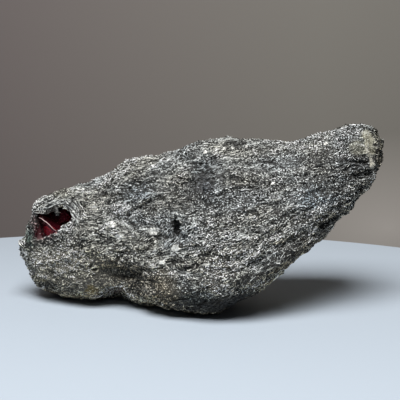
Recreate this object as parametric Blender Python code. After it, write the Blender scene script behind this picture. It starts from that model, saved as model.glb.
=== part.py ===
"""Raw nuummite: a hand specimen of foliated amphibole rock with garnets in a pocket.

Two pieces: the stone, one broken lump with its ledges, hollows and pocket, and the garnet,
two crystals grown together that sit in the pocket at the stone's low end.
Lengths below are in millimetres; MM turns them into metres. X runs along the stone, -Y is its
best face, Z is up, and the stone rests on Z = 0.
"""
import math
from collections import namedtuple

import bmesh
import bpy
import numpy as np
from mathutils import Matrix, Vector, noise

MM = 0.001

# Driving dimensions: four rails along the stone, each point (x, y, z).
CREST = [(-95.4, 22, 25.5), (-93.2, 23, 31), (-91, 24, 38), (-88.8, 25, 46.5), (-86, 26, 51),
         (-80, 26, 53.2), (-73.7, 26, 55.6), (-59, 24, 60.2), (-47.5, 23, 65), (-42.6, 22, 69.3),
         (-38.4, 22, 71.2), (-25.8, 20, 75), (-11.3, 19, 78.5), (-5, 18, 81.8), (3, 18, 83.4),
         (20, 18, 83.8), (37, 18, 82.6), (46, 18, 81.8), (52.3, 17, 83.6), (69, 16, 89.3),
         (80.6, 16, 92.1), (87.1, 15, 90.5), (91.6, 15, 87.2), (93.2, 14, 80)]
KEEL = [(-95.4, 22, 24.5), (-93, 23, 19.5), (-90.2, 24, 15), (-87.8, 25, 9), (-84.5, 27, 4),
        (-77, 28, 0.5), (-68, 28, -0.8), (-57, 25, -1), (-44, 21, 0), (-30, 14, -1), (-15, 4, -1),
        (0, -3, -1), (8, -2, -0.8), (15, 0, 3), (20, 1, 5.5), (26.8, 2, 7.5), (32.8, 1, 12),
        (40, 1, 17.5), (45.2, 1, 22.8), (53.1, 2, 29.5), (62.1, 4, 35.5), (68.4, 6, 42.5),
        (73.6, 8, 47.5), (76.9, 9, 52.5), (82.5, 10, 58), (85.8, 11, 62.5), (87.6, 12, 68),
        (92, 13, 72.5), (93.2, 14, 77)]
FACE = [(-95.4, 21, 25), (-93, 16, 26), (-90, 12, 26), (-84, 8, 25), (-76, 3, 23), (-66, -3, 21),
        (-57, -8, 20), (-45, -11, 21), (-33, -15, 20), (-20, -22, 19), (-8, -30, 18),
        (5, -35, 18), (18, -34, 20), (30, -31, 26), (40, -28, 33), (50, -25, 42), (60, -20, 50),
        (70, -15, 58), (80, -9, 67), (87, -2, 72), (91, 5, 76), (93.2, 12, 78)]
BACK = [(-95.4, 23, 25), (-92, 30, 26), (-86, 36, 28), (-76, 41, 29), (-60, 45, 32),
        (-40, 47, 36), (-20, 48, 40), (0, 48, 42), (20, 48, 44), (40, 47, 50), (55, 45, 57),
        (70, 41, 64), (80, 36, 70), (87, 30, 74), (91, 24, 77), (93.2, 16, 78)]
# How full the section is between two rails: 2 is an ellipse, more is squarer, less is flatter.
BROW_FULLNESS = 1.85
CHIN_FULLNESS = 2.1
HEEL_FULLNESS = 2.3
NAPE_FULLNESS = 2.0

STATIONS = 96
QUARTER_POINTS = 16
REMESH_VOXEL = 1.5
FACE_BUDGET = 9300
CLEARANCE = 0.4
SLICE_TOLERANCE = 0.0001

# Hollows (negative depth) and swellings (positive) pressed into one side of the stone. The
# place is (x, z) on the face and the back, (x, y) on the top and underneath; length and width
# are half-axes, tilt turns the length, and a lip steepens a hollow's upper edge.
Stroke = namedtuple("Stroke", "side across up length width tilt depth lip")
STROKES = [
    # the scooped hollow at the lower left, and the arch below it
    Stroke("face", -39, 19.5, 16, 9, -6, -9.5, 2.4),
    Stroke("face", -42, 5, 10, 6, 0, -4.8, 1),
    # the blunt nose beside it and the sunken facet right of that
    Stroke("face", -18, 15, 8, 15, 14, 3, 1),
    Stroke("face", 0, 11, 9, 6, 0, -2.2, 1.6),
    # the left foot and the left end's cheek
    Stroke("face", -63, 11, 13, 7, -4, 2, 1),
    Stroke("face", -80, 20, 8, 8, 0, 1.5, 1),
    Stroke("face", -87, 17, 3, 6, 20, -2, 1),
    # the low front rib, the slanting groove above it and its twin below
    Stroke("face", 12, 21, 20, 3.5, 6, 1.8, 1),
    Stroke("face", 32, 33, 19, 3.2, 29, -2.4, 1.6),
    Stroke("face", 31, 25.5, 13, 3, 30, 1.6, 1),
    Stroke("face", 38, 24, 12, 2.2, 35, -1.8, 1.5),
    # the deep recess under the overhanging flank
    Stroke("face", 56.5, 44.5, 9, 4, 36, -5, 2),
    Stroke("face", 68, 50, 8, 2.5, 32, -2.2, 1.6),
    # the long dent and ledges across the middle
    Stroke("face", 2, 66, 13, 4.5, 8, -2.2, 1.6),
    Stroke("face", 30, 66, 10, 2.6, -8, -1.8, 2.5),
    Stroke("face", 8, 74, 9, 4, 10, -1.4, 1.4),
    Stroke("face", -33, 62, 12, 3, 3, -1.8, 2.2),
    Stroke("face", 14, 50, 16, 5, 14, 1.6, 1),
    # the short upright pit, the broken plate under it and the cracks beside it
    Stroke("face", -10.8, 44, 1.9, 5, 6, -6, 1),
    Stroke("face", -14, 38, 4, 3.4, 20, 1.8, 1),
    Stroke("face", -8.5, 34.5, 4, 1.6, 32, -2.6, 1.5),
    Stroke("face", -27, 54, 10, 1.7, 31, -2.2, 2.2),
    Stroke("face", -48, 57, 8, 1.8, 12, -2, 2),
    Stroke("face", 3, 34, 4, 1.4, 10, -2, 2),
    # swells of the upper face and the knob
    Stroke("face", -44, 45, 11, 7, 10, 1.6, 1),
    Stroke("face", 40, 58, 18, 9, 12, 1.5, 1),
    Stroke("face", 66, 76, 14, 9, 18, 1.8, 1),
    Stroke("face", 77, 73, 6, 7, 0, -2.4, 1),
    # the knob's two end lobes with the grooves between them
    Stroke("face", 85.5, 76, 1.5, 12, 10, -2.2, 1),
    Stroke("face", 89.5, 84.5, 3.2, 6, 0, 1.2, 1),
    Stroke("face", 91, 77.8, 5, 1.1, 0, -2.4, 1),
    Stroke("face", 88.5, 73.5, 3, 3.4, 0, 1.4, 1),
    Stroke("face", 88, 68.6, 4, 1.2, 0, -1.6, 1),
    # the brow over the garnet pocket
    Stroke("face", -74, 53, 12, 3.2, 13, 1.8, 1),
    Stroke("face", -60, 47, 3.5, 8, -20, 1.4, 1),
    # the back: one long split plane, a stepped ledge, a hollow, a rib and a lump
    Stroke("back", -22, 50, 44, 17, 5, -5, 1.5),
    Stroke("back", 36, 60, 26, 5, 12, -3.5, 2.4),
    Stroke("back", -62, 30, 12, 9, 0, -4.5, 1),
    Stroke("back", 5, 26, 30, 5, 6, 2.6, 1),
    Stroke("back", 62, 66, 13, 9, 20, 2.6, 1),
    Stroke("back", -10, 16, 24, 3, 4, -3, 2),
    Stroke("back", -78, 42, 7, 5, 30, -2.5, 1.5),
    # the top: shallow steps behind the crest
    Stroke("top", -10, 33, 26, 5, 4, -2.6, 1),
    Stroke("top", 52, 28, 14, 5, -12, -3, 1),
    Stroke("top", -62, 36, 14, 4, 6, -2.2, 1),
    Stroke("top", 76, 22, 8, 5, 10, 1.6, 1),
    # underneath: the arch, the heel of the foot and the split overhang
    Stroke("under", -42, 1, 9, 13, 0, -6, 1),
    Stroke("under", 3, 17, 17, 9, 10, 3.2, 1),
    Stroke("under", 42, 16, 16, 9, 0, -3, 1),
    Stroke("under", 62, 12, 6, 15, 10, 2, 1),
    Stroke("under", 74, 20, 4, 12, -8, -2.2, 1),
]
FACING = {"face": (0, -1, 0), "back": (0, 1, 0), "top": (0, 0, 1), "under": (0, 0, -1)}
# A stroke falls off as a bell, and fades where the skin turns away from its side.
BELL_STEEPNESS = 1.6
FADE_STEEPNESS = 2.5
FADE_START = 0.2

# The rock's layers dip towards +X and the back, and curl up to the right below the knob.
LAYER_DIP = 0.07
LAYER_LEAN = 0.15
LAYER_CURL = 0.0035
CURL_START_X = -10.0
CURL_TOP_Z = 75.0
CURL_FADE = 35.0

# Lumps all over the skin: pattern size, height, roughness and where the noise is read.
LUMPS = [(26.0, 1.5, 0.9, (0, 0, 0)), (9.0, 0.9, 0.7, (7, 3, 1))]
LUMP_LACUNARITY = 2.1
LUMP_OCTAVES = 3

# Shelves where the layers have split: spacing, height and where the noise is read. They
# wander (pattern size, spacings), show only in patches, and lean over by a power above 1.
LEDGES = [(10.5, 2.0, (2, 9, 5)), (5.2, 0.8, (13, 4, 11))]
LEDGE_WANDER = [(31.0, 2.2), (8.0, 0.5)]
LEDGE_LEAN = 2.2
PATCH_SIZE = 19.0
PATCH_CONTRAST = 2.6
PATCH_COVER = 0.45
LEVEL_LOSS = 0.8

# The pocket's rim as seen from the front, (x, z), clockwise from its left corner; the notch
# between the fourth and eighth points is a tongue of rock that hangs over it.
POCKET_RIM = [(-85.8, 43.5), (-85.6, 46.4), (-78.8, 47.2), (-75.6, 47.6), (-73.8, 45.8),
              (-72.6, 45.0), (-72.8, 47.1), (-73.1, 48.9), (-70.6, 49.7), (-68.0, 48.7),
              (-65.5, 47.6), (-64.0, 45.6), (-63.0, 43.2), (-66.0, 42.2), (-66.8, 43.0),
              (-67.5, 40.3), (-69.6, 40.1), (-70.3, 38.3), (-72.1, 37.0), (-75.6, 35.7),
              (-77.1, 34.9), (-80.4, 33.6), (-82.2, 36.0), (-84.4, 39.3)]
POCKET_CENTRE = (-74.0, 42.0)
POCKET_MOUTH_Y = -6.0
POCKET_FLOOR_Y = 24.0
POCKET_TAPER = 0.9

# Each crystal is a block cut back to flat faces, (point, outward normal). The front crystal's
# first and third faces meet in the sharp edge that crosses the pocket. The blocks differ in
# size so that none of their uncut sides fall together.
FRONT_BLOCK = 56.0
REAR_BLOCK = 60.0
FRONT_CRYSTAL = [((-72.5, 6.3, 37.9), (-0.62, -0.78, -0.10)),
                 ((-77.9, 10.6, 38.0), (-0.82, -0.56, -0.12)),
                 ((-72.5, 6.3, 37.9), (0.34, -0.28, 0.91))]
REAR_CRYSTAL = [((-69.5, 12.0, 44.0), (-0.55, -0.80, 0.20)),
                ((-69.5, 12.0, 44.0), (0.35, -0.93, -0.10)),
                ((-69.5, 13.5, 47.5), (0.0, -0.70, 0.70)),
                ((-69.0, 13.5, 40.5), (0.10, -0.75, -0.65))]

ROCK = ("rock", (0.150, 0.160, 0.155), 0.62)
GARNET = ("garnet", (0.090, 0.004, 0.012), 0.12)


def monotone(points, at):
    """Read a rail at the given x values with a smooth curve that never overshoots its points."""
    x, value = points[:, 0], points[:, 1:]
    run = np.diff(x)[:, None]
    slope = np.diff(value, axis=0) / run
    before, after = slope[:-1], slope[1:]
    same_way = before * after > 0
    safe = np.where(same_way, before + after, 1.0)
    tangent = np.zeros_like(value)
    tangent[1:-1] = np.where(same_way, 2 * before * after / safe, 0.0)
    tangent[0], tangent[-1] = slope[0], slope[-1]
    index = np.clip(np.searchsorted(x, at, side="right") - 1, 0, len(x) - 2)
    width = run[index]
    t = ((at - x[index]) / width[:, 0])[:, None]
    return ((2 * t**3 - 3 * t**2 + 1) * value[index] + (t**3 - 2 * t**2 + t) * width * tangent[index]
            + (3 * t**2 - 2 * t**3) * value[index + 1] + (t**3 - t**2) * width * tangent[index + 1])


def quarter(flat_point, upright_point, fullness, towards_upright):
    """A quarter of the section between a point where it runs level and one where it is upright."""
    angle = np.linspace(0, math.pi / 2, QUARTER_POINTS, endpoint=False)
    if not towards_upright:
        angle = math.pi / 2 - angle
    reach, rise = np.sin(angle) ** (2 / fullness), np.cos(angle) ** (2 / fullness)
    y = flat_point[0] + (upright_point[0] - flat_point[0]) * reach
    z = upright_point[1] + (flat_point[1] - upright_point[1]) * rise
    return list(zip(y, z))


def loft_stone():
    """Skin the stone's sections, close together at its blunt ends, into one closed mesh."""
    swing = np.linspace(-math.pi / 2, math.pi / 2, STATIONS)
    first, last = CREST[0][0], CREST[-1][0]
    stations = (first + last) / 2 + (last - first) / 2 * np.sin(swing)
    crest, keel, face, back = (monotone(np.array(rail, float), stations)
                               for rail in (CREST, KEEL, FACE, BACK))
    shell = bmesh.new()
    rings = []
    for i, x in enumerate(stations):
        outline = (quarter(crest[i], face[i], BROW_FULLNESS, True)
                   + quarter(keel[i], face[i], CHIN_FULLNESS, False)
                   + quarter(keel[i], back[i], HEEL_FULLNESS, True)
                   + quarter(crest[i], back[i], NAPE_FULLNESS, False))
        rings.append([shell.verts.new(Vector((x, y, z)) * MM) for y, z in outline])
    for ring, following in zip(rings, rings[1:]):
        for k in range(len(ring)):
            shell.faces.new((ring[k], ring[k - 1], following[k - 1], following[k]))
    shell.faces.new(rings[0])
    shell.faces.new(reversed(rings[-1]))
    bmesh.ops.recalc_face_normals(shell, faces=shell.faces)
    return shell


def new_object(name, shell):
    """Put a finished bmesh into a new object in the scene."""
    mesh = bpy.data.meshes.new(name)
    shell.to_mesh(mesh)
    shell.free()
    thing = bpy.data.objects.new(name, mesh)
    bpy.context.scene.collection.objects.link(thing)
    return thing


def bake_modifiers(thing):
    """Replace an object's mesh by what its modifiers make of it."""
    bpy.context.view_layer.update()
    graph = bpy.context.evaluated_depsgraph_get()
    baked = bpy.data.meshes.new_from_object(thing.evaluated_get(graph))
    thing.modifiers.clear()
    thing.data = baked


def read_vectors(items, attribute):
    """Read one vector attribute of every vertex into an array."""
    values = np.empty(len(items) * 3)
    items.foreach_get(attribute, values)
    return values.reshape(-1, 3)


def layer_height(x, y, z):
    """How far a point lies up through the rock's layers, which bend upwards to the right."""
    curl = LAYER_CURL * np.maximum(0, x - CURL_START_X) ** 2
    curl *= np.clip((CURL_TOP_Z - z) / CURL_FADE, 0, 1)
    return z - LAYER_DIP * x - LAYER_LEAN * y - curl


def stroke_push(stroke, places, normals):
    """How far one stroke moves each point along its side's direction."""
    facing = np.array(FACING[stroke.side])
    across = places[:, 0] - stroke.across
    up = places[:, 2 if stroke.side in ("face", "back") else 1] - stroke.up
    turn = math.radians(stroke.tilt)
    along = across * math.cos(turn) + up * math.sin(turn)
    aside = up * math.cos(turn) - across * math.sin(turn)
    aside = np.where(aside > 0, aside * stroke.lip, aside)
    distance = (along / stroke.length) ** 2 + (aside / stroke.width) ** 2
    seen = np.clip(normals @ facing * FADE_STEEPNESS + FADE_START, 0, 1)
    reach = stroke.depth * np.exp(-distance * BELL_STEEPNESS) * seen
    return reach[:, None] * facing


def noise_over(places, size, at):
    """Smooth noise between about -1 and 1 at every place."""
    start = Vector(at)
    return np.array([noise.noise(Vector(place) / size + start) for place in places])


def ledge_relief(places, normals, spacing, height, at):
    """Patches of overhanging shelves where the rock has split along its bent layers."""
    steps = layer_height(*places.T) / spacing
    for size, spacings in LEDGE_WANDER:
        steps += spacings * noise_over(places, size, at)
    shelf = -0.5 * np.cos(math.tau * (steps % 1.0) ** LEDGE_LEAN)
    patch = np.clip(PATCH_CONTRAST * noise_over(places, PATCH_SIZE, at[::-1]) + PATCH_COVER, 0, 1)
    crossing = 1 - LEVEL_LOSS * normals[:, 2] ** 2
    return height * shelf * patch * crossing


def sculpt(thing):
    """Press the strokes, lumps and split layers into the stone's skin."""
    places = read_vectors(thing.data.vertices, "co") / MM
    normals = read_vectors(thing.data.vertices, "normal")
    moved = places + sum(stroke_push(stroke, places, normals) for stroke in STROKES)
    swell = sum(ledge_relief(places, normals, *ledge) for ledge in LEDGES)
    for size, height, roughness, at in LUMPS:
        pattern = [noise.fractal(Vector(place) / size + Vector(at), roughness,
                                 LUMP_LACUNARITY, LUMP_OCTAVES) for place in places]
        swell += height * np.array(pattern)
    moved += normals * swell[:, None]
    thing.data.vertices.foreach_set("co", (moved * MM).ravel())
    thing.data.update()


def pocket_filling(gap):
    """What fills the pocket, narrowing inwards, with a gap all round to the rock."""
    filling = bmesh.new()
    rim = [filling.verts.new(Vector((x, POCKET_MOUTH_Y, z)) * MM) for x, z in POCKET_RIM]
    mouth = filling.faces.new(rim)
    if gap:
        filling.normal_update()
        border = bmesh.ops.inset_region(filling, faces=[mouth], thickness=gap * MM,
                                        use_boundary=True, use_even_offset=True)
        bmesh.ops.delete(filling, geom=border["faces"], context="FACES")
    pushed = bmesh.ops.extrude_face_region(filling, geom=[mouth])
    floor = [item for item in pushed["geom"] if isinstance(item, bmesh.types.BMVert)]
    inwards = Vector((0, POCKET_FLOOR_Y - gap - POCKET_MOUTH_Y, 0)) * MM
    bmesh.ops.translate(filling, vec=inwards, verts=floor)
    centre = Vector((POCKET_CENTRE[0], POCKET_FLOOR_Y, POCKET_CENTRE[1])) * MM
    bmesh.ops.scale(filling, vec=(POCKET_TAPER, 1, POCKET_TAPER), verts=floor,
                    space=Matrix.Translation(-centre))
    bmesh.ops.recalc_face_normals(filling, faces=filling.faces)
    return filling


def cut_flat(shell, point, normal):
    """Slice a closed bmesh along a plane, drop what lies outside it and close the cut."""
    geometry = shell.verts[:] + shell.edges[:] + shell.faces[:]
    cut = bmesh.ops.bisect_plane(shell, geom=geometry, dist=SLICE_TOLERANCE * MM,
                                 plane_co=Vector(point) * MM, plane_no=normal, clear_outer=True)
    rim = [item for item in cut["geom_cut"] if isinstance(item, bmesh.types.BMEdge)]
    bmesh.ops.holes_fill(shell, edges=rim, sides=0)


def crystal(name, faces, size):
    """One garnet crystal: a block larger than the pocket, cut back to the crystal's faces."""
    gem = bmesh.new()
    middle = Vector((POCKET_CENTRE[0], POCKET_FLOOR_Y, POCKET_CENTRE[1])) * MM
    bmesh.ops.create_cube(gem, size=size * MM, matrix=Matrix.Translation(middle))
    for point, normal in faces:
        cut_flat(gem, point, normal)
    bmesh.ops.recalc_face_normals(gem, faces=gem.faces)
    return new_object(name, gem)


def boolean(thing, other, operation):
    """Join, cut or trim one object by another, and drop the other."""
    step = thing.modifiers.new(operation.lower(), "BOOLEAN")
    step.operation = operation
    step.solver = "EXACT"
    step.object = other
    bake_modifiers(thing)
    bpy.data.objects.remove(other)


def paint(thing, finish):
    """Give an object its own material."""
    name, colour, roughness = finish
    material = bpy.data.materials.new(name)
    material.use_nodes = True
    shader = material.node_tree.nodes["Principled BSDF"]
    shader.inputs["Base Color"].default_value = (*colour, 1)
    shader.inputs["Roughness"].default_value = roughness
    shader.inputs["Metallic"].default_value = 0
    thing.data.materials.clear()
    thing.data.materials.append(material)


def build_stone():
    """The rock itself, from its lofted skin to the pocket cut in its low end."""
    stone = new_object("stone", loft_stone())
    remesh = stone.modifiers.new("even skin", "REMESH")
    remesh.mode = "VOXEL"
    remesh.voxel_size = REMESH_VOXEL * MM
    bake_modifiers(stone)
    sculpt(stone)
    thin = stone.modifiers.new("fewer faces", "DECIMATE")
    thin.ratio = FACE_BUDGET / (2 * len(stone.data.polygons))
    bake_modifiers(stone)
    flat_footed = bmesh.new()
    flat_footed.from_mesh(stone.data)
    cut_flat(flat_footed, (0, 0, 0), (0, 0, -1))
    flat_footed.to_mesh(stone.data)
    flat_footed.free()
    boolean(stone, new_object("pocket", pocket_filling(0)), "DIFFERENCE")
    paint(stone, ROCK)
    return stone


def build_garnet():
    """Two crystals grown into each other, moulded to the pocket that holds them."""
    garnet = crystal("garnet", FRONT_CRYSTAL, FRONT_BLOCK)
    boolean(garnet, crystal("rear crystal", REAR_CRYSTAL, REAR_BLOCK), "UNION")
    boolean(garnet, new_object("mould", pocket_filling(CLEARANCE)), "INTERSECT")
    paint(garnet, GARNET)
    return garnet


def centre_on_foot(stone, garnet):
    """Move both pieces so that the origin is under the middle of the stone's box."""
    places = read_vectors(stone.data.vertices, "co")
    middle = (places.min(axis=0) + places.max(axis=0)) / 2
    for thing in (stone, garnet):
        thing.data.transform(Matrix.Translation((-middle[0], -middle[1], 0)))


def main():
    for thing in list(bpy.data.objects):
        bpy.data.objects.remove(thing)
    centre_on_foot(build_stone(), build_garnet())


if __name__ == "__main__":
    main()
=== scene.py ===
"""Dresses a raw nuummite specimen around its solids.

The rock gets a split, foliated skin and a felt of needles, blades and mica flakes that lie along
its layers. The garnet gets clear, glossy crystals. Lengths named below are in millimetres, and
MM turns them into metres. X runs along the stone, -Y is its best face and it rests on Z = 0.
"""
import math
from collections import namedtuple

import bmesh
import bpy
import numpy as np
from bpy.props import FloatProperty, FloatVectorProperty, IntProperty, PointerProperty
from mathutils import Matrix, Vector, noise
from mathutils.bvhtree import BVHTree


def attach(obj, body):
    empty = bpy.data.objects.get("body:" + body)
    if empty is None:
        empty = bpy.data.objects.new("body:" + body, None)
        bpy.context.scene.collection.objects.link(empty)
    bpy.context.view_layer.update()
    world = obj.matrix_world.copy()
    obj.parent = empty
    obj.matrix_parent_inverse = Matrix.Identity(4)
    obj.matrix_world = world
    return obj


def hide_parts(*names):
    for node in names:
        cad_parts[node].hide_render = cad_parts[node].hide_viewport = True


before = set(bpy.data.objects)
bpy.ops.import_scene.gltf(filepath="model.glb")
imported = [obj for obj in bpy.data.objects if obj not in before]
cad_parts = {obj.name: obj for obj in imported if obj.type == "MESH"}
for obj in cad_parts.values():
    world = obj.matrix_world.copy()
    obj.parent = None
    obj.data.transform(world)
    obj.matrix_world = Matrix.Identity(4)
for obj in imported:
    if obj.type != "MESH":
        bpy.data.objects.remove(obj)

bl_info = {
    "name": "Raw Nuummite",
    "version": (1, 0, 0),
    "blender": (4, 5, 0),
    "location": "3D View > Sidebar > Specimen",
    "description": "Foliated rock skin, needles, flakes, garnet crystals and a stage",
    "category": "Object",
}

MM = 0.001

# The rock's layers dip towards +X and the back, and curl up to the right below the knob.
LAYER_DIP = 0.07
LAYER_LEAN = 0.15
LAYER_CURL = 0.0035
CURL_START_X = -9.0
CURL_TOP_Z = 75.0
CURL_FADE = 35.0

# Needles wrap round the garnet pocket and round a fold right of it: the middle of each, the
# radius and width of the ring where they do, and how strongly.
WRAPS = [((-73, -12, 42), 14, 6, 1), ((-25, -18, 46), 11, 5, 1.1)]

# Shelves of split rock on the skin: spacing, height and where their noise is read.
SHELVES = [(7.5, 0.80, (6, 2, 3)), (3.6, 0.45, (3, 1, 7)), (2.1, 0.25, (11, 5, 2))]
# They wander up and down (size, spacings) and lean over, by a power above 1.
SHELF_WANDER = [(17, 1.8), (5, 0.5)]
SHELF_LEAN = 2.2
# Noise stretched along the layers: sizes along, through and across them, height, where read.
RIDGES = [((13, 9, 7), 1.00, (1, 6, 2)), ((6, 5, 3), 0.55, (5, 8, 1)),
          ((2.6, 2.2, 1.3), 0.30, (2, 4, 9))]
# Thin dark gaps between layers: sizes along, through and across, depth, half-width, where read.
GAPS = [((15, 11, 4.2), 1, 0.10, (2, 7, 4)), ((7, 6, 2.4), 0.6, 0.13, (9, 1, 3))]
# Shelves and gaps show only in patches: the patches' size, middle and contrast.
SHELF_PATCHES = (14, 0.30, 2.4)
GAP_PATCHES = (13, 0.5, 2.5)
# The finest lumps all over the skin: size and height.
FINE_SIZE = 1.5
FINE_HEIGHT = 0.22

# How strongly needles keep to the stone's length, and how far back they wrap round a ring.
LENGTHWISE = 0.35
WRAP_DEPTH = 25
# How far needles swing from the grain: size of the swings, radians, where read.
SWINGS = [(15, 0.6, (24, 23, 35)), (6, 0.5, (9, 35, 2))]
# How far they all swing upwards on the face.
UPSWING = 0.15

# Cracks on the face, each a run of (x, z) points, with its depth and half-width. They wander a
# little (size, how far) and reach back to a Y.
CRACK_WANDER = (4, 0.8)
CRACK_END_Y = 5
CRACKS = [
    ([(-85, 50.5), (-79, 53.3), (-72, 56)], 1.5, 0.4),
    ([(-83, 48.4), (-77.5, 50.6), (-71, 53.6), (-66, 53.5)], 1.5, 0.4),
    ([(-64.5, 54.5), (-59.5, 51), (-57, 45.5)], 1.4, 0.4),
    ([(-33, 49.5), (-27, 53.5), (-19, 57.5), (-14.5, 54.5), (-13, 50)], 1, 0.6),
    ([(-35.3, 49.3), (-34.2, 48.8)], 1.8, 1),
    ([(-49.5, 60), (-46, 60.3), (-42.5, 61.5)], 1, 0.6),
    ([(-10.5, 34), (-8.6, 35.6), (-7.8, 38)], 1.3, 0.7),
    ([(-5.5, 27.2), (-1, 28)], 1.3, 0.7),
    ([(-27.5, 62.5), (-22, 64.5), (-16, 64)], 0.6, 0.6),
    ([(-48, 56), (-40, 57.5), (-34, 56.5)], 0.6, 0.6),
    ([(-10.8, 48), (-9.2, 45.8), (-9.9, 42.8), (-12.2, 39.8)], 2.8, 1.1),
    ([(-5, 27), (0.5, 30.5), (10, 39.5)], 0.7, 0.6),
    ([(-44, 28), (-28, 26.5), (-21.5, 23.5)], 0.9, 0.9),
    ([(86, 79.8), (90, 79.3), (96, 78.8)], 1.7, 0.9),
]

# Bundles of long fibres, each a run of (x, z) points, how many fibres it has, how widely they
# spread, and how much of the run each one covers.
Bundle = namedtuple("Bundle", "path fibres spread reach")
BROW = [Bundle(*row) for row in [
    ([(-85.5, 48.5), (-83, 51), (-78.5, 52.5), (-74, 55)], 7, 1, 0.55),
    ([(-84.5, 47.5), (-80.5, 50), (-76, 51), (-72.5, 54)], 7, 1, 0.55),
    ([(-81, 47.5), (-77.5, 49.5), (-73, 51), (-69.5, 53)], 6, 0.8, 0.55),
    ([(-72.5, 51.5), (-67.5, 51), (-63.5, 48), (-60.5, 43.5), (-61, 41)], 9, 1, 0.55),
    ([(-68, 53), (-63.5, 51.5), (-60.5, 48), (-58.5, 44)], 7, 1.2, 0.55),
    ([(-86, 44.5), (-82.5, 44), (-79.5, 43)], 3, 0.5, 0.60),
]]
# A pale pink strand along the garnet's sharp edge: a painted highlight where the edge catches the
# light.
CREST_HIGHLIGHT = [Bundle([(-83.5, 43.2), (-80.5, 42.8), (-77, 40.9), (-72, 37.6)], 1, 0, 1)]
FIBRE_THICKNESS = 0.46
# Dark strands laid between the brow's pale fibres are painted shade in the gaps between them.
SHADOW_GAP_THICKNESS = 1.15 * FIBRE_THICKNESS
CREST_HIGHLIGHT_THICKNESS = 0.32
# Each fibre has this many points, the fewest that must meet the rock, and how far it sways as a
# share of its bundle's spread. It is thin at its ends and thick in the middle.
FIBRE_POINTS = 14
FEWEST_POINTS = 4
FIBRE_SWAY = 0.25
FIBRE_END = 0.3
FIBRE_SWELL = 0.9

# Pale crumbs along the pocket's rim.
RIM = [(-85.5, 44.5), (-84.8, 41.5), (-83.5, 38), (-80, 33.8), (-77.4, 35.6), (-75.6, 35.2),
       (-73, 36)]
RIM_CRUMBS = 44
CRUMB_SIZE = 0.9
CRUMB_SCATTER = 0.5

# A pale flat inclusion just behind the front crystal's face, under its sharp edge: its middle,
# its half-sizes, the way its long side points, the way its flat side faces, and how far it
# slants from the crystal's face, in degrees.
INCLUSION = (-76.8, 6.3, 36.9)
INCLUSION_SIZE = (3.5, 2.2, 0.4)
INCLUSION_ALONG = (0.738, -0.530, -0.439)
INCLUSION_FACING = (-0.62, -0.78, -0.10)
INCLUSION_SLANT = 14.0

# Large pale flakes on the face: place (x, z), length, width and tilt.
Plate = namedtuple("Plate", "across up length width tilt")
PLATES = [Plate(*row) for row in [
    (-21.8, 41.5, 3.8, 3.6, 8), (-11, 35.8, 4.4, 2.8, 55),
    (-17.5, 28.3, 3.8, 1.7, -8), (-37.5, 26.3, 1.7, 0.8, 0),
    (-32.5, 26.6, 1.1, 0.7, 20), (-20.5, 37, 1.6, 1.3, 0),
    (-42.5, 43.5, 3, 2.2, 15), (3.9, 78.6, 2, 1.5, 0),
    (12.9, 80, 1.8, 1.5, 30), (17.4, 80.3, 1.6, 1.3, 0),
    (24, 81, 1.6, 1.3, 0), (63.1, 82.5, 1.8, 1.4, 0),
    (36.6, 65, 2, 1.4, 10), (4, 29.5, 3.2, 1.1, 35),
]]
# Each flake is a stack of leaves, which are a share of its size and lie a share of it aside.
LEAVES = 6
LEAF_SHARE = 0.6
LEAF_ASIDE = 0.3
LEAF_THICKNESS = 0.4
# How far a leaf leans from the way that plates face, how far it turns (degrees), how far it is
# lifted off the rock, and how far its corners are broken off, at the size of the breaks.
PLATE_FACING = (-0.1, -0.8, 0.2)
LEAF_LEAN = 0.15
LEAF_TURN = 20
LEAF_LIFT = (0.2, 0.7)
LEAF_BREAK = 0.5
BREAK_SCALE = 0.7

# Mottling of the whole rock: sizes along, through and across the layers, contrast, where read.
MOTTLES = [((26, 18, 9), 0.22, (4, 4, 4)), ((9, 7, 3.2), 0.40, (8, 2, 5)),
           ((4.2, 3.4, 1.4), 0.58, (1, 9, 7))]
OLIVE = (1.03, 1.00, 0.94)
BLUE = (0.97, 1.00, 1.03)
# The two hues come in patches: size along, through and across the layers, middle and contrast.
HUE_PATCHES = ((22, 16, 9), 0.5, 1.2)
# Painted shade: how much darker hollows are than ridges, and the relief beyond which that stops.
RELIEF_SHADE = 0.60
RELIEF_REACH = (-2.4, 1)

# Where things come in: the start, and the width over which they do; below 0 they fade out.
# These are millimetres from the garnet or above the ground, but STAIN_EDGE is a share of a
# stain's reach, and SOCKET_EDGE is also read as a share of the socket's size.
RELIEF_OFF_GARNET = (0.3, 1.5)
RELIEF_OFF_GROUND = (0, 1.2)
FELT_OFF_GARNET = (0.35, 0.6)
FELT_OFF_GROUND = (0.5, 1)
POCKET_SHADE_EDGE = (1.1, -0.5)
SOCKET_EDGE = (1.6, -1)
STAIN_EDGE = (1.2, -0.3)

# Long needles come in streaky patches (size, middle, contrast), and fade out along X towards
# the knob.
STREAK_PATCHES = (16, 0.55, 1.8)
FEWEST_STREAKS = 0.05
STREAK_FADE = (60, -40)
KNOB_STREAKS = 0.15
# How much rarer specks are where long needles lie thickest.
PEPPER_LOSS = 0.55
# Where the rock's tint is dark, its painted shade included, pale grains are rarer, and this much
# less darkened by the tint. The tint counts as no darker than DARKEST.
SCARCE = 0.9
DARKENING_LOSS = 0.5
DARKEST = 0.07
# Sandy patches of the face with few long needles: place (x, z), half-length, half-width, tilt.
Patch = namedtuple("Patch", "across up length width tilt")
SANDY_LOSS = 0.85
SANDY_POWER = 4
SANDY = [Patch(*row) for row in [(-62, 18, 34, 13, -10), (-20, 14, 16, 12, 0)]]

# The low end's outline is calmer: where its relief starts to fade, and how much is left.
CALM_X = -82.0
CALM_FADE = 10.0
CALM_SHARE = 0.45

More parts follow.
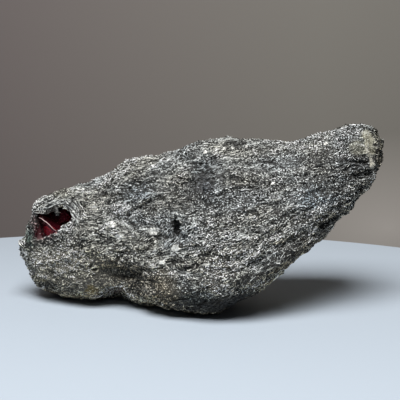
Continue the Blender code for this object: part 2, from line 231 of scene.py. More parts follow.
# Painted shade, warmer in hue than the rock: what multiplies the colour of ground that faces
# down, and how soon it does.
UNDERSIDE_SHADE = (0.80, 0.70, 0.54)
UNDER_STEEPNESS = 1.3

# Edges of patches on the face are scattered (size, how far), and patches fade where the skin
# turns away from the front.
PATCH_SCATTER = (3.5, 1.8)
FRONT_REACH = 1.2
FRONT_STEEPNESS = 2.0

# Paler and darker patches of the face: place (x, z), half-length, half-width, tilt, and the
# colour or the grey that multiplies the rock's own. Some are the rock's own tone, such as the
# knob's cream tip. Many are painted light and shade: painted light on lit faces and over ledge
# shadows, painted shade under the brow, in and below the garnet pocket, in pits and on the
# knob's dark lobes, and painted shadow along the bottom edge where it meets the table.
MARK_STEEPNESS = 0.7
MARK_POWER = 3
ToneAndLightPatch = namedtuple("ToneAndLightPatch", "across up length width tilt colour")
TONES_AND_PAINTED_LIGHT = [ToneAndLightPatch(*row) for row in [
    (84.8, 83.4, 3.2, 5.6, 8, (1.5, 1.46, 1.25)), (78.2, 81.5, 3.6, 3, 0, (1.35, 1.3, 1.1)),
    (78.5, 74.5, 4.4, 5.5, 0, (0.62, 0.62, 0.64)), (71, 76, 4.5, 5, 0, (1.3, 1.3, 1.32)),
    (91, 84.5, 3, 6, 0, (0.42, 0.4, 0.33)), (89.5, 79.6, 3, 1, 0, (0.5, 0.48, 0.4)),
    (90.5, 74, 4, 4.6, 0, (0.3, 0.28, 0.24)), (-60, 16, 40, 15, 0, (1.17, 1.15, 1.09)),
    (-74, 52.5, 14, 5, 15, (0.85, 0.84, 0.81)), (-78, 47.2, 7, 1.9, 12, (0.45, 0.42, 0.4)),
    (-82, 50, 4.5, 2.4, 25, (2.8, 2.77, 2.7)), (-83.6, 40.5, 4.6, 4.8, 0, (0.2, 0.13, 0.13)),
    (-87, 33.5, 2.8, 5, 0, (0.2, 0.29, 0.28)), (-91, 26, 5, 7, 0, (1.6, 1.63, 1.6)),
    (-79, 33.5, 9.5, 4, 8, (0.2, 0.18, 0.18)), (-74, 20.5, 18, 4.5, 0, (1.34, 1.36, 1.36)),
    (-31, 59.5, 9, 4.5, 15, (0.8, 0.86, 0.94)), (4.3, 69, 8, 8, 0, (0.5, 0.53, 0.56)),
    (3, 64.5, 7.5, 3.6, 0, (0.42, 0.42, 0.44)), (55.8, 58, 9, 4.5, 0, (0.88, 0.95, 1.02)),
    (62, 66, 24, 14, 20, (0.74, 0.75, 0.76)), (-63, 27, 22, 10, 0, (1.42, 1.41, 1.35)),
    (-61, 31, 8, 5, 0, (0.68, 0.68, 0.7)), (12, 30, 20, 8, 5, (1.32, 1.31, 1.28)),
    (19, 28.5, 12, 6.5, 10, (1.95, 1.94, 1.9)), (3.5, 43.7, 13.5, 6, -5, (1.62, 1.63, 1.64)),
    (34, 40, 7, 5, 0, 1.6), (57, 53, 10, 6, 18, (1.7, 1.7, 1.71)),
    (-76, 12, 9, 6, 0, (0.86, 0.86, 0.84)), (22, 23.3, 8.5, 3.4, 12, (0.17, 0.17, 0.16)),
    (24, 8.5, 13, 5, 15, 0.03), (58, 87.5, 13, 5, 15, (2.1, 2.11, 2.1)),
    (-17, 17.5, 7, 9, 0, (0.95, 0.86, 0.75)), (-1.5, 11, 10, 6, 0, (0.3, 0.33, 0.34)),
    (-67.4, 55.3, 9, 1.4, 20, (1.3, 1.3, 1.25)), (-42.4, 43.6, 5, 3.6, 0, (1.5, 1.5, 1.45)),
    (12, 80, 26, 5, 4, 1.18), (19, 80.5, 6, 3.4, 0, 0.5),
    (-36.3, 49.3, 7, 3.8, -10, (3.1, 3.12, 3.14)), (33, 59, 6, 5, 0, 1.75),
    (-27, 12.5, 5, 5, 0, (0.58, 0.57, 0.56)), (-67.2, 26, 7.5, 5.5, 0, (1.95, 1.95, 1.91)),
    (-20, 57, 4, 5.5, 0, 0.58), (-45.5, 8, 7.5, 4.2, 0, (3.8, 3.68, 3.47)),
    (-53, 13.5, 7, 4, 0, (0.16, 0.16, 0.15)), (-51, 47, 4, 3.5, 0, 0.8),
    (-47, 34.5, 3.5, 4, 0, 0.62), (-40, 73, 11, 5, 25, (1.8, 1.8, 1.78)),
    (14, 8.5, 15, 5.5, 8, 0.05), (-4, 35, 6, 3, -15, (1.45, 1.46, 1.47)),
    (-56, 21, 7, 4, -20, (1.8, 1.78, 1.71)), (-7.5, 45.5, 4, 5.5, 0, 0.55),
    (40, 19.5, 12, 5.5, 18, (2.7, 2.47, 2.08)), (42, 32, 9.5, 4.5, 30, (0.4, 0.39, 0.38)),
    (51, 45, 6, 6, 0, 1.35), (-9.8, 45, 1.8, 3.2, 0, 0.06),
    (-38.5, 18.5, 14, 6, -8, (0.66, 0.62, 0.57)), (66, 50.5, 7, 1.4, 32, (1.45, 1.4, 1.32)),
    (-34.7, 49, 1.3, 1.4, 0, (0.08, 0.08, 0.09)), (7.5, 16.5, 6.5, 4, 0, (3.5, 3.5, 3.46)),
    (-8, 29, 8, 3.5, 0, 0.58), (-47, 65, 6, 4.5, 0, 1.75), (-58.5, 37, 5, 4, 0, 0.54),
    (-30, 42.5, 4.5, 3.5, 0, 0.66), (16, 52, 5, 4, 0, 0.7), (-16.5, 42.5, 4, 4.5, 0, 1.5),
    (-8, 76, 6, 3.2, 0, 0.76), (4, 24, 4.5, 3, 0, 0.64), (59.5, 41, 4.5, 3.5, 30, 0.72),
    (-57, 6, 7, 3.5, 0, (1.6, 1.57, 1.5)), (-84, 19.5, 5, 5, 0, (1.4, 1.4, 1.38)),
    (-21, 8, 5, 3.5, 0, (1.6, 1.55, 1.46)), (-29, 31, 5, 3.5, 0, (1.35, 1.35, 1.33)),
    (24, 17.5, 5.5, 2.8, 0, (2.6, 2.6, 2.56)), (1.5, 86.5, 5, 3.4, 0, 0.58),
    (72, 56, 6, 3, 35, 1.5), (-36, 57, 5.5, 3.4, 0, 0.6), (-3, 49, 4, 3.5, 0, 0.7),
    (12, 59, 3.5, 3, 0, 1.35), (-48, 63.5, 4.5, 3, 0, 1.35), (23, 40, 3.5, 3, 0, 0.66),
    (11, 66, 4, 2.8, 0, 0.66), (16, 88, 5, 2.6, 0, 2.2), (-36, 40, 3.5, 3, 0, 0.74),
    (2.5, 63.5, 5, 3, 0, (0.7, 0.7, 0.72)), (20.5, 80.5, 4, 3, 0, 0.76),
    (-56, 53, 4, 3, 0, (1.28, 1.28, 1.26)), (30, 39, 4, 3, 0, 1.25), (15, 44, 3.5, 3, 0, 1.3),
    (44, 24, 4.5, 3.5, 30, 0.66), (-58, 59.5, 5, 3, 20, 0.74), (52, 42, 3.5, 3, 0, 1.3),
    (-17, 58, 5, 3.5, 0, 0.72),
]]

# Patches that hide the rock's own colour: place, half-sizes and tilt as above, then the colour
# and how far it hides the rock. Most are stains. The first is painted shade deep in the pocket
# beside the garnet, and the thin pale line on the knob is a cream fracture face with painted
# light on it.
CoveringPatch = namedtuple("CoveringPatch", "across up length width tilt colour share")
STAINS_AND_PAINTED_LIGHT = [CoveringPatch(*row) for row in [
    (-81, 36.8, 1.8, 3.6, -10, (0.045, 0.004, 0.008), 0.97),
    (-64, 19, 26, 11, -8, (0.21, 0.20, 0.17), 0.20),
    (84.8, 83.4, 2.7, 5.4, 8, (0.46, 0.44, 0.34), 0.50),
    (78.2, 81.5, 3.4, 2.8, 0, (0.38, 0.37, 0.29), 0.20),
    (84.9, 75.8, 1.1, 6.4, 17, (0.52, 0.50, 0.43), 0.85),
    (-53.1, 9.7, 3.6, 2.6, 0, (0.22, 0.17, 0.06), 0.40),
    (-41.5, 6, 4, 2, 0, (0.08, 0.04, 0.03), 0.50),
    (-15, 16, 6, 8, 0, (0.20, 0.17, 0.11), 0.15),
]]

# The pocket's edge and the crystals in it, moved a little: round which place, how far round it
# and which way. It gets wider at its lower left and its right, and its brow hangs lower.
PULLS = [((-79.5, 6, 35.5), 4.5, (-2.7, 0, -2.4)), ((-80, 9, 48), 3.7, (0, 0, -3.2)),
         ((-66, 7, 44.5), 3.5, (1.3, 0, 0))]

# Pale crumbling rock under the garnets, which light that enters them falls on.
SOCKET = (-76.0, 3.0, 35.5)
SOCKET_SIZE = 5.0
SOCKET_COLOUR = (0.52, 0.36, 0.35)
# Painted shade: the near-black colour that lines the rest of the pocket, where shade falls.
POCKET_SHADE = (0.020, 0.008, 0.009)
POCKET_SHADE_SHARE = 0.95

# Patterns in the materials, in waves a metre: the ground's streaks along, through and across
# the layers, its flecks, and the flecks of a grain and of a fibre.
GROUND_STREAKS = (420, 600, 1250)
GROUND_FLECKS = 2100.0
GRAIN_FLECKS = 1500.0
FIBRE_FLECKS = 700.0
# Painted shade: the front crystal's colour turns to the shaded colour of the backs between these
# depths.
GARNET_SHADE_DEPTHS = (5.0, 9.0)

# The stage, in metres and degrees: a round table, a wall, a softbox and a camera.
TABLE_RADIUS = 0.3
TABLE_THICKNESS = 0.02
TABLE_PLACE = (-0.035, -0.106, -0.01)
WALL_SIZE = 1.5
WALL_PLACE = (0, 0.7, 0.2)
# Where the wall's painted change of light starts and how steep it is, and the painted glow's
# place and shape.
WALL_SIDE = {"Location": (0.62, 0, 0), "Scale": (2.5, 1, 1)}
WALL_GLOW = {"Location": (-1.1, 0, 0.75), "Scale": (4.6, 0, 8.3)}
SOFTBOX_SIZE = 0.6
SOFTBOX_PLACE = (-0.08, -0.42, 0.89)
SOFTBOX_AIM = (0, 0, 0.04)
CAMERA_PLACE = (0.0009, -0.4718, 0.127)
CAMERA_TILT = 81.2
CAMERA_LENS = 85
CAMERA_SENSOR = 36


def read(items, attribute, width):
    """Read one property of every item into an array."""
    values = np.empty(len(items) * width, dtype=np.float32)
    items.foreach_get(attribute, values)
    return values.reshape(-1, width).astype(float)


def store(mesh, name, kind, values):
    """Keep one value for every vertex under a name that materials and nodes can read."""
    layer = mesh.attributes.new(name, kind, "POINT")
    field = {"FLOAT": "value", "FLOAT_VECTOR": "vector", "FLOAT_COLOR": "color"}[kind]
    layer.data.foreach_set(field, np.ascontiguousarray(values, dtype=np.float32).ravel())


def move_to(mesh, places):
    """Put every vertex at its place, given in millimetres, but none below the ground."""
    places[:, 2] = np.maximum(places[:, 2], 0)
    mesh.vertices.foreach_set("co", (places * MM).astype(np.float32).ravel())
    mesh.update()


def noise_over(places, sizes, at):
    """Smooth noise between about -1 and 1 at every place."""
    return np.array([noise.noise(Vector(place))
                     for place in places / np.array(sizes) + np.array(at)])


def patches(places, at, size, middle, contrast):
    """Smooth patches from 0 to 1, of about a size, that cover more the higher their middle is."""
    return np.clip(middle + contrast * noise_over(places, size, at), 0, 1)


def share_past(values, start, width):
    """How far each value is past the start, from 0 to 1 over the width."""
    return np.clip((values - start) / width, 0, 1)


def unit(vectors):
    """The same directions with a length of one."""
    return vectors / np.maximum(np.linalg.norm(vectors, axis=1, keepdims=True), 1e-9)


def curl_fade(z):
    """How much the layers curl at a height: fully low down, not at all at the knob."""
    return share_past(z, CURL_TOP_Z, -CURL_FADE)


def layer_height(x, y, z):
    """How far a point lies up through the rock's layers."""
    curl = LAYER_CURL * np.maximum(0, x - CURL_START_X) ** 2 * curl_fade(z)
    return z - LAYER_DIP * x - LAYER_LEAN * y - curl


def layer_places(places):
    """The same places told along, through and up through the layers."""
    return np.stack([places[:, 0], places[:, 1], layer_height(*places.T)], axis=1)


def layer_normal(x, y, z):
    """The direction straight through the layers at a point."""
    reach = np.maximum(0, x - CURL_START_X)
    fading = (z < CURL_TOP_Z) & (z > CURL_TOP_Z - CURL_FADE)
    across = np.stack([-LAYER_DIP - 2 * LAYER_CURL * reach * curl_fade(z),
                       np.full_like(x, -LAYER_LEAN),
                       1 + np.where(fading, LAYER_CURL * reach ** 2 / CURL_FADE, 0)], axis=1)
    return unit(across)


def bake_modifiers(thing):
    """Replace an object's mesh by what its modifiers make of it."""
    bpy.context.view_layer.update()
    graph = bpy.context.evaluated_depsgraph_get()
    baked = bpy.data.meshes.new_from_object(thing.evaluated_get(graph))
    plain = thing.data
    thing.modifiers.clear()
    thing.data = baked
    baked.name = thing.name
    bpy.data.meshes.remove(plain)


def add_object(name, data):
    """Put a mesh, curve, light or camera into the scene as a new object."""
    thing = bpy.data.objects.new(name, data)
    bpy.context.scene.collection.objects.link(thing)
    return thing


def new_object(name, shell):
    """Put a finished bmesh into a new object in the scene."""
    mesh = bpy.data.meshes.new(name)
    shell.to_mesh(mesh)
    shell.free()
    return add_object(name, mesh)


def copy_of_node(node_name, name):
    """A merged copy of one of the part's own solids, as a new object."""
    shell = bmesh.new()
    shell.from_mesh(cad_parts[node_name].data)
    bmesh.ops.remove_doubles(shell, verts=shell.verts, dist=1e-6)
    return new_object(name, shell)


def tree_of(mesh):
    """A search tree over a mesh's faces."""
    shell = bmesh.new()
    shell.from_mesh(mesh)
    tree = BVHTree.FromBMesh(shell)
    shell.free()
    return tree


def distance_to(node_name, places):
    """How far each place is from one of the part's solids, in millimetres."""
    tree = tree_of(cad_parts[node_name].data)
    return np.array([tree.find_nearest(Vector(place) * MM)[3] for place in places]) / MM


def finish_piece(piece, material, stands_for=()):
    """Give a piece its material and say what it is to the frame."""
    piece.data.materials.clear()
    piece.data.materials.append(material)
    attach(piece, "root")
    if stands_for:
        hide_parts(*stands_for)


# The rock's skin.

def shelf_relief(places, spacing, height, at):
    """Patches of small overhanging shelves along the layers."""
    steps = layer_height(*places.T) / spacing
    steps += sum(spacings * noise_over(places, size, at) for size, spacings in SHELF_WANDER)
    shelf = -0.5 * np.cos(math.tau * (steps % 1.0) ** SHELF_LEAN)
    return height * shelf * patches(places, at[::-1], *SHELF_PATCHES)


def gap_relief(places):
    """Thin gaps that wander along the layers, in patches."""
    along = layer_places(places)
    cut = np.zeros(len(places))
    for sizes, depth, half_width, at in GAPS:
        patch = patches(places, at[::-1], *GAP_PATCHES)
        cut -= depth * patch * np.clip(1 - abs(noise_over(along, sizes, at)) / half_width, 0, 1)
    return cut


def crack_relief(places):
    """Narrow cuts along the named runs on the face."""
    cut = np.zeros(len(places))
    size, how_far = CRACK_WANDER
    wander = how_far * noise_over(places, size, (1, 1, 1))
    for run, depth, half_width in CRACKS:
        nearest = np.full(len(places), np.inf)
        for (x0, z0), (x1, z1) in zip(run, run[1:]):
            dx, dz = x1 - x0, z1 - z0
            along = ((places[:, 0] - x0) * dx + (places[:, 2] - z0) * dz) / (dx * dx + dz * dz)
            along = np.clip(along, 0, 1)
            away = np.hypot(places[:, 0] - x0 - along * dx,
                            places[:, 2] - z0 - along * dz + wander)
            nearest = np.minimum(nearest, away)
        cut -= depth * np.exp(-(nearest / half_width) ** 2)
    return cut * (places[:, 1] < CRACK_END_Y)


def pull_pocket(mesh):
    """Move what lies round the pocket as the pulls say."""
    places = read(mesh.vertices, "co", 3) / MM
    for middle, reach, way in PULLS:
        away = np.linalg.norm(places - np.array(middle), axis=1)
        places += np.exp(-(away / reach) ** 2)[:, None] * np.array(way)
    move_to(mesh, places)


def build_skin(detail):
    """The rock with an even, fine skin and its split layers, ridges and cracks."""
    skin = copy_of_node("stone", "rock")
    even = skin.modifiers.new("even", "REMESH")
    even.mode = "VOXEL"
    even.voxel_size = detail
    soften = skin.modifiers.new("soften", "SMOOTH")
    soften.factor = 0.5
    soften.iterations = 4
    bake_modifiers(skin)
    places = read(skin.data.vertices, "co", 3) / MM
    normals = read(skin.data.vertices, "normal", 3)
    along = layer_places(places)
    broad = sum(shelf_relief(places, *shelf) for shelf in SHELVES)
    broad += sum(height * noise_over(along, sizes, at) for sizes, height, at in RIDGES)
    fine = FINE_HEIGHT * noise_over(places, FINE_SIZE, (9, 9, 4))
    relief = broad + fine + gap_relief(places) + crack_relief(places)
    clear = share_past(distance_to("garnet", places), *RELIEF_OFF_GARNET)
    lift = share_past(places[:, 2], *RELIEF_OFF_GROUND)
    lift *= np.clip(1 + (places[:, 0] - CALM_X) / CALM_FADE, CALM_SHARE, 1)
    move_to(skin.data, places + normals * (relief * clear * lift)[:, None])
    store(skin.data, "relief", "FLOAT", relief)
    return skin


def grain_directions(places, normals):
    """Which way the needles lie: along the layers' trace on the skin, wrapped where they wrap."""
    through = layer_normal(*places.T)
    trace = np.cross(normals, through)
    lineation = unit(np.cross(np.tile([0.0, 1.0, 0.0], (len(places), 1)), through))
    trace *= np.where((trace * lineation).sum(axis=1) < 0, -1, 1)[:, None]
    grain = unit(trace + LENGTHWISE * lineation)
    for middle, radius, width, strength in WRAPS:
        away = places - np.array(middle)
        reach = np.hypot(away[:, 0], away[:, 2])
        ring = strength * np.exp(-((reach - radius) / width) ** 2) * (away[:, 1] < WRAP_DEPTH)
        swirl = unit(np.cross(normals, away))
        swirl *= np.where((swirl * grain).sum(axis=1) < 0, -1, 1)[:, None]
        grain = unit(grain + swirl * ring[:, None])
    swing = UPSWING + sum(angle * noise_over(places, size, at) for size, angle, at in SWINGS)
    swing = swing[:, None]
    return unit(grain * np.cos(swing) + np.cross(normals, grain) * np.sin(swing))


def face_view(places, normals):
    """Every place as (x, z) on the face, slightly scattered, and how far it faces forward."""
    size, how_far = PATCH_SCATTER
    across = places[:, 0] + how_far * noise_over(places, size, (3, 3, 8))
    up = places[:, 2] + how_far * noise_over(places, size, (8, 3, 3))
    return across, up, np.clip(FRONT_REACH - FRONT_STEEPNESS * normals[:, 1], 0, 1)


def patch_reach(view, patch):
    """How far out in an oval patch every place lies: 0 in its middle, 1 on its edge."""
    turn = math.radians(patch.tilt)
    across, up = view[0] - patch.across, view[1] - patch.up
    return np.hypot((across * math.cos(turn) + up * math.sin(turn)) / patch.length,
                    (up * math.cos(turn) - across * math.sin(turn)) / patch.width)


def stains(places, view, near_garnet):
    """The colour that hides the rock's own at every place, and how far it does: stains, the pale
    socket, the pocket's painted shade and painted light on the knob.
    """
    stain = np.zeros((len(places), 4))
    away = np.linalg.norm(places - np.array(SOCKET), axis=1) / SOCKET_SIZE
    socket = share_past(away, *SOCKET_EDGE) * share_past(near_garnet, *SOCKET_EDGE)
    layers = [(patch.colour,
               patch.share * share_past(patch_reach(view, patch), *STAIN_EDGE) * view[2])
              for patch in STAINS_AND_PAINTED_LIGHT]
    # Painted shade over the pocket round the garnet.
    pocket_shade = POCKET_SHADE_SHARE * share_past(near_garnet, *POCKET_SHADE_EDGE)
    for colour, share in layers + [(POCKET_SHADE, pocket_shade * (socket < 0.5)), (SOCKET_COLOUR, socket)]:
        stronger = share > stain[:, 3]
        stain[stronger, :3] = colour
        stain[stronger, 3] = share[stronger]
    return stain


def tints(places, normals, view, relief):
    """The colour that multiplies the rock's own at every place: random tone and hue, painted
    shade in hollows and on ground that faces down, and painted light and shade from the patches.
    """
    along = layer_places(places)
    tone = np.ones(len(places))
    for sizes, contrast, at in MOTTLES:
        tone *= 1 + contrast * noise_over(along, sizes, at)
    # Painted shade: hollows and cracks go darker with their relief.
    tone *= np.exp(RELIEF_SHADE * np.clip(relief, *RELIEF_REACH))
    hue = patches(along, (7, 7, 1), *HUE_PATCHES)[:, None]
    tint = (np.array(OLIVE) * (1 - hue) + np.array(BLUE) * hue) * tone[:, None]
    # Painted shade on ground that faces down, warmer in hue.
    under = np.clip(-UNDER_STEEPNESS * normals[:, 2:3], 0, 1)
    tint *= 1 + under * (np.array(UNDERSIDE_SHADE) - 1)
    # The rock's own tone, and painted light and shade, from the patches above.
    for tone_and_light in TONES_AND_PAINTED_LIGHT:
        reach = patch_reach(view, tone_and_light)
        share = np.exp(-MARK_STEEPNESS * reach ** MARK_POWER) * view[2]
        tint *= 1 + share[:, None] * (np.array(tone_and_light.colour) - 1)
    return tint


def annotate(skin):
    """Store what needles and materials follow: layers, grain, felt and tint, which holds painted
    light and shade.
    """
    mesh = skin.data
    places = read(mesh.vertices, "co", 3) / MM
    normals = read(mesh.vertices, "normal", 3)
    relief = read(mesh.attributes["relief"].data, "value", 1)[:, 0]
    near_garnet = distance_to("garnet", places)
    felt = share_past(near_garnet, *FELT_OFF_GARNET) * share_past(places[:, 2], *FELT_OFF_GROUND)
    streaks = np.maximum(patches(places, (4, 9, 4), *STREAK_PATCHES), FEWEST_STREAKS)
    streaks *= np.maximum(share_past(places[:, 0], *STREAK_FADE), KNOB_STREAKS)
    view = face_view(places, normals)
    for patch in SANDY:
        streaks *= 1 - SANDY_LOSS * np.exp(-patch_reach(view, patch) ** SANDY_POWER)
    tint = np.ones((len(places), 4))
    tint[:, :3] = tints(places, normals, view, relief)
    store(mesh, "layers", "FLOAT_VECTOR", layer_places(places) * MM)
    store(mesh, "grain", "FLOAT_VECTOR", grain_directions(places, normals))
    light = np.clip(tint[:, 1], DARKEST, 1)
    tint[:, :3] /= light[:, None] ** DARKENING_LOSS
    pale = light ** SCARCE
    pepper = felt * (1 - PEPPER_LOSS * streaks)
    for name, values in (("felt", felt), ("pepper", pepper), ("pale_felt", felt * pale),
                         ("pale_pepper", pepper * pale), ("streaks", felt * streaks * pale)):
        store(mesh, name, "FLOAT", values)
    store(mesh, "tint", "FLOAT_COLOR", tint)
    store(mesh, "stain", "FLOAT_COLOR", stains(places, view, near_garnet))


# Node trees.

def plug(tree, made, inputs):
    """Link or set a node's inputs."""
    for key, value in inputs.items():
        if isinstance(value, bpy.types.NodeSocket):
            tree.links.new(value, made.inputs[key])
        else:
            made.inputs[key].default_value = value
    return made


def node(tree, kind, inputs=None, **settings):
    """Add a node with its settings, and link or set its inputs."""
    made = tree.nodes.new(kind)
    for key, value in settings.items():
        setattr(made, key, value)
    return plug(tree, made, inputs or {})


def maths(tree, operation, first, second, clamp=False):
    """A Math node's result."""
    return node(tree, "ShaderNodeMath", {0: first, 1: second}, operation=operation,
                use_clamp=clamp).outputs[0]


def mixed(tree, share, first, second, **settings):
    """Two colours mixed: the first one turns to the second as the share grows."""
    return node(tree, "ShaderNodeMix", {0: share, 6: first, 7: second}, data_type="RGBA",
                **settings).outputs[2]


def stored(tree, name):
    """What the mesh stores under a name, as a node's outputs."""
    return node(tree, "ShaderNodeAttribute", attribute_name=name).outputs


def tinted(tree, colour):
    """A colour multiplied by the rock's tint, painted light and shade included, and hidden by its
    stains and the pocket's painted shade.
    """
    colour = mixed(tree, 1.0, colour, stored(tree, "tint")["Color"], blend_type="MULTIPLY",
                   clamp_result=True)
    stain = stored(tree, "stain")
    return mixed(tree, stain["Alpha"], colour, stain["Color"])


def place_on_object(tree):
    """The place on the object itself, for patterns that stay with it."""
    return node(tree, "ShaderNodeTexCoord").outputs["Object"]


def noise_pattern(tree, where, scale, detail, roughness=0.5):
    """A noise pattern between 0 and 1."""
    return node(tree, "ShaderNodeTexNoise", {"Vector": where, "Scale": scale, "Detail": detail,
                                             "Roughness": roughness}).outputs[0]


def ramp(tree, factor, stops):
    """A Color Ramp's colour, from (position, colour) stops."""
    made = node(tree, "ShaderNodeValToRGB", {0: factor})
    points = made.color_ramp.elements
    points.remove(points[0])
    points[0].position, points[0].color = stops[0][0], (*stops[0][1], 1)
    for position, colour in stops[1:]:
        points.new(position).color = (*colour, 1)
    return made.outputs[0]


def new_material(name):
    """A material with its node tree and its Principled shader."""
    material = bpy.data.materials.new(name)
    material.use_nodes = True
    return material, material.node_tree, material.node_tree.nodes["Principled BSDF"]


def grey(value):
    """The rock's slightly green grey."""
    return (value * 0.975, value, value * 0.955)


def rock_material():
    """Dark foliated ground, peppered with pale grains too small to be modelled."""
    material, tree, shader = new_material("foliated_ground")
    layers = stored(tree, "layers")["Vector"]
    stretched = node(tree, "ShaderNodeMapping", {"Vector": layers, "Scale": GROUND_STREAKS})
    streaks = noise_pattern(tree, stretched.outputs[0], 1.0, 3.0, 0.7)
    fine = noise_pattern(tree, layers, GROUND_FLECKS, 2.0, 0.6)
    tone = maths(tree, "ADD", maths(tree, "MULTIPLY", streaks, 0.65),
                 maths(tree, "MULTIPLY", fine, 0.35))
    colour = ramp(tree, tone, [(0.40, grey(0.004)), (0.51, grey(0.022)), (0.58, grey(0.12)),
                               (0.65, grey(0.50))])
    bump = node(tree, "ShaderNodeBump", {"Height": tone, "Strength": 0.8, "Distance": 0.0006})
    plug(tree, shader, {"Base Color": tinted(tree, colour), "Roughness": 0.55,
                        "Normal": bump.outputs[0]})
    return material


def grain_material(name, hue, stops, roughness, specular):
    """One mineral of the felt: each grain has its own tone, and takes the rock's tint."""
    material, tree, shader = new_material(name)
    fleck = noise_pattern(tree, place_on_object(tree), GRAIN_FLECKS, 1.0)
    spread = maths(tree, "MULTIPLY", maths(tree, "SUBTRACT", fleck, 0.5), 0.5)
    tone = maths(tree, "ADD", stored(tree, "tone")["Fac"], spread, clamp=True)
    colour = ramp(tree, tone, [(at, [value * part for part in hue]) for at, value in stops])
    plug(tree, shader, {"Base Color": tinted(tree, colour), "Roughness": roughness,
                        "Specular IOR Level": specular})
    return material


def shiny_material(name, colour):
    """Fibres or flakes of one colour, brighter and duller along their length."""
    material, tree, shader = new_material(name)
    stops = [(at, [light * part for part in colour])
             for at, light in ((0.35, 0.25), (0.5, 0.75), (0.6, 0.98))]
    flecks = noise_pattern(tree, place_on_object(tree), FIBRE_FLECKS, 2.0)
    plug(tree, shader, {"Base Color": ramp(tree, flecks, stops), "Roughness": 0.4})
    return material


def plain_material(name, colour):
    """A dull finish of one colour, for small or plain things."""
    material, tree, shader = new_material(name)
    plug(tree, shader, {"Base Color": (*colour, 1), "Roughness": 0.6})
    return material


def garnet_material(colour, shaded_colour):
    """Clear dark red crystal, with painted shade that darkens it towards its back."""
    material, tree, shader = new_material("garnet_glass")
    depth = node(tree, "ShaderNodeSeparateXYZ", {0: place_on_object(tree)}).outputs["Y"]
    start, end = GARNET_SHADE_DEPTHS
    depth = node(tree, "ShaderNodeMapRange", {"Value": depth, "From Min": start * MM,
                                              "From Max": end * MM}).outputs[0]
    plug(tree, shader, {"Base Color": mixed(tree, depth, (*colour, 1), (*shaded_colour, 1)),
                        "Roughness": 0.07, "IOR": 1.78, "Transmission Weight": 0.97,
                        "Specular Tint": (0.45, 0.08, 0.12, 1)})
    absorb = node(tree, "ShaderNodeVolumeAbsorption", {"Color": (0.90, 0.03, 0.11, 1),
                                                       "Density": 600.0})
    plug(tree, tree.nodes["Material Output"], {"Volume": absorb.outputs[0]})
    return material


def wall_material(left, right, glow):
    """A dull wall with painted light on it: a little lighter to the right, with a painted soft
    glow low on that side.
    """
    material, tree, shader = new_material("plain_wall")
    where = place_on_object(tree)
    side = node(tree, "ShaderNodeMapping", {"Vector": where, **WALL_SIDE})
    side = node(tree, "ShaderNodeTexGradient", {0: side.outputs[0]}, gradient_type="LINEAR")
    plain = ramp(tree, side.outputs["Fac"], [(0.0, left), (1.0, right)])
    spot = node(tree, "ShaderNodeMapping", {"Vector": where, **WALL_GLOW})
    spot = node(tree, "ShaderNodeTexGradient", {0: spot.outputs[0]}, gradient_type="SPHERICAL")
    plug(tree, shader, {"Base Color": mixed(tree, spot.outputs["Fac"], plain, (*glow, 1)),
                        "Roughness": 1.0, "Specular IOR Level": 0.0})
    return material


# Needles, blades and flakes.

def needle_form(length, width, thickness):
    """A three-sided needle along X, its ridge upwards, thinner at one end."""
    form = bmesh.new()
    lie_down = Matrix.Rotation(math.pi / 2, 4, "X") @ Matrix.Rotation(math.pi / 2, 4, "Y")
    bmesh.ops.create_cone(form, segments=3, radius1=0.5, radius2=0.3, depth=1, cap_ends=True,
                          matrix=lie_down)
    bmesh.ops.scale(form, verts=form.verts, vec=(length, width, thickness))
    bmesh.ops.recalc_face_normals(form, faces=form.faces)
    return new_object("form", form)


def flake_form(length, width, thickness):
    """A small five-sided plate, lying in X and Y."""
    form = bmesh.new()
    bmesh.ops.create_cone(form, segments=5, radius1=0.5, radius2=0.42, depth=1.0, cap_ends=True)
    bmesh.ops.scale(form, verts=form.verts, vec=(length, width, thickness))
    return new_object("form", form)


def random_vector(tree, low, high, seed):
    """A random vector for each point, between two corners."""
    return node(tree, "FunctionNodeRandomValue", {"Min": low, "Max": high, "Seed": seed},
                data_type="FLOAT_VECTOR").outputs[0]


